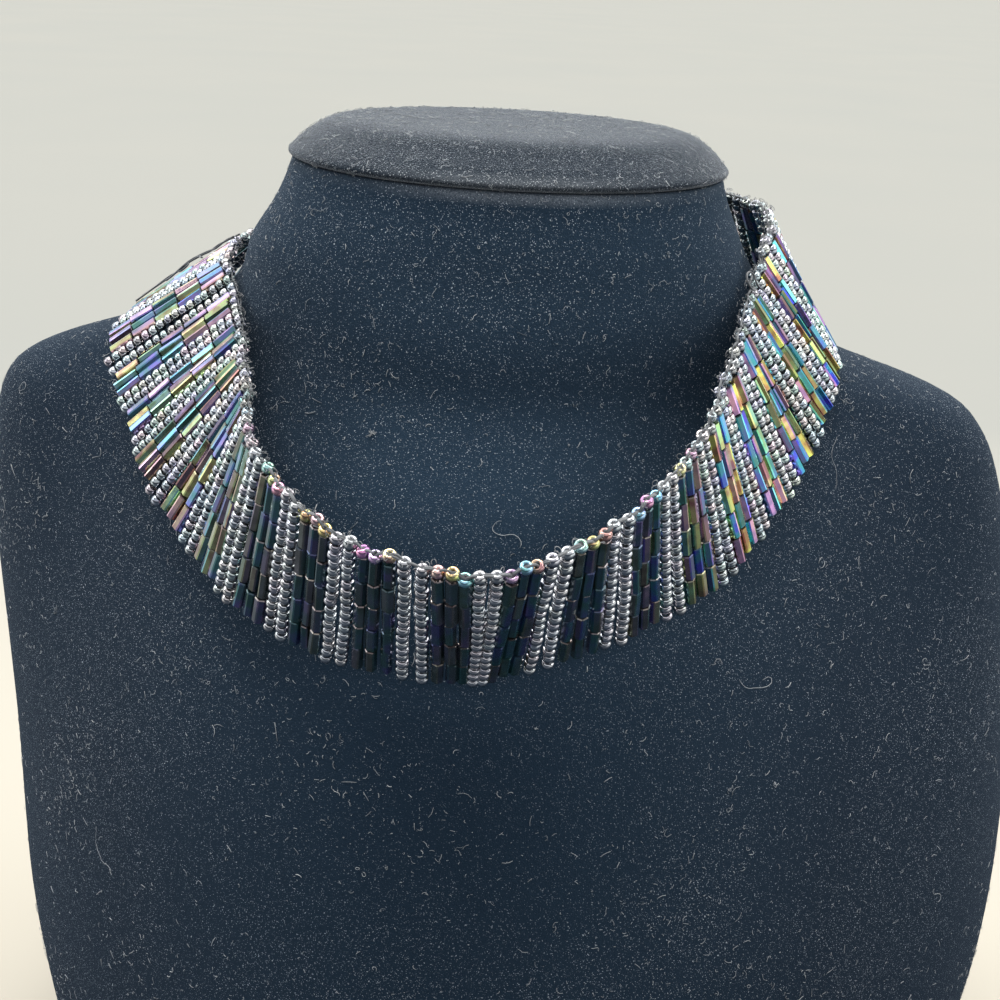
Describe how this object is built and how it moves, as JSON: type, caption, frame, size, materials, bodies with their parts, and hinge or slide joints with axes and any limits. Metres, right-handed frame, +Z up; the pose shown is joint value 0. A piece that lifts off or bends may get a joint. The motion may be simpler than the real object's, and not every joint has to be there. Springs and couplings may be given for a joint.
{
  "type": "beaded choker on a velvet neck bust",
  "caption": "Woven choker band of seed bead columns and hex-cut bugle bead columns, closed by a clasp at the back, shown on a plain black velvet neck bust that stands on its flat base.",
  "frame": {"origin": "on the table, under the middle of the whole model's box", "axes": "+Z up, -Y to the front of the bust, where the band is lowest, +X to the wearer's left shoulder"},
  "size_m": [0.2049, 0.122, 0.194],
  "materials": {
    "velvet": "black velvet with a faint blue-grey sheen at grazing angles and pale lint",
    "silver_seed_bead": "opaque glass seed beads with a bright gunmetal-silver metallic coat",
    "iris_bugle_bead": "opaque dark hex-cut glass with an iris coat in teal, blue, purple, gold, green and copper",
    "thread": "thin dark and clear nylon beading thread",
    "clasp_metal": "plain dull silver-coloured metal"
  },
  "bodies": {
    "root": {"bust_body": "velvet", "neck_cap": "velvet", "back_left_beads": "silver_seed_bead", "back_right_beads": "silver_seed_bead", "bugle_panel_06": "iris_bugle_bead", "seed_panel_07": "silver_seed_bead", "bugle_panel_07": "iris_bugle_bead", "seed_panel_08": "silver_seed_bead", "bugle_panel_08": "iris_bugle_bead", "seed_panel_09": "silver_seed_bead", "bugle_panel_09": "iris_bugle_bead", "seed_panel_10": "silver_seed_bead", "bugle_panel_10": "iris_bugle_bead", "seed_panel_11": "silver_seed_bead", "bugle_panel_11": "iris_bugle_bead", "seed_panel_12": "silver_seed_bead", "bugle_panel_12": "iris_bugle_bead", "seed_panel_13": "silver_seed_bead", "bugle_panel_13": "iris_bugle_bead", "seed_panel_14": "silver_seed_bead", "bugle_panel_14": "iris_bugle_bead", "seed_panel_15": "silver_seed_bead", "bugle_panel_15": "iris_bugle_bead", "seed_panel_16": "silver_seed_bead", "bugle_panel_16": "iris_bugle_bead", "seed_panel_17": "silver_seed_bead", "bugle_panel_17": "iris_bugle_bead", "seed_panel_18": "silver_seed_bead", "bugle_panel_18": "iris_bugle_bead", "seed_panel_19": "silver_seed_bead", "bugle_panel_19": "iris_bugle_bead", "seed_panel_20": "silver_seed_bead", "bugle_panel_20": "iris_bugle_bead", "seed_panel_21": "silver_seed_bead", "bugle_panel_21": "iris_bugle_bead", "seed_panel_22": "silver_seed_bead", "bugle_panel_22": "iris_bugle_bead", "seed_panel_23": "silver_seed_bead", "bugle_panel_23": "iris_bugle_bead", "seed_panel_24": "silver_seed_bead", "bugle_panel_24": "iris_bugle_bead", "seed_panel_25": "silver_seed_bead", "bugle_panel_25": "iris_bugle_bead", "seed_panel_26": "silver_seed_bead", "bugle_panel_26": "iris_bugle_bead", "seed_panel_27": "silver_seed_bead", "bugle_panel_27": "iris_bugle_bead", "clasp": "clasp_metal"}
  },
  "joints": []
}
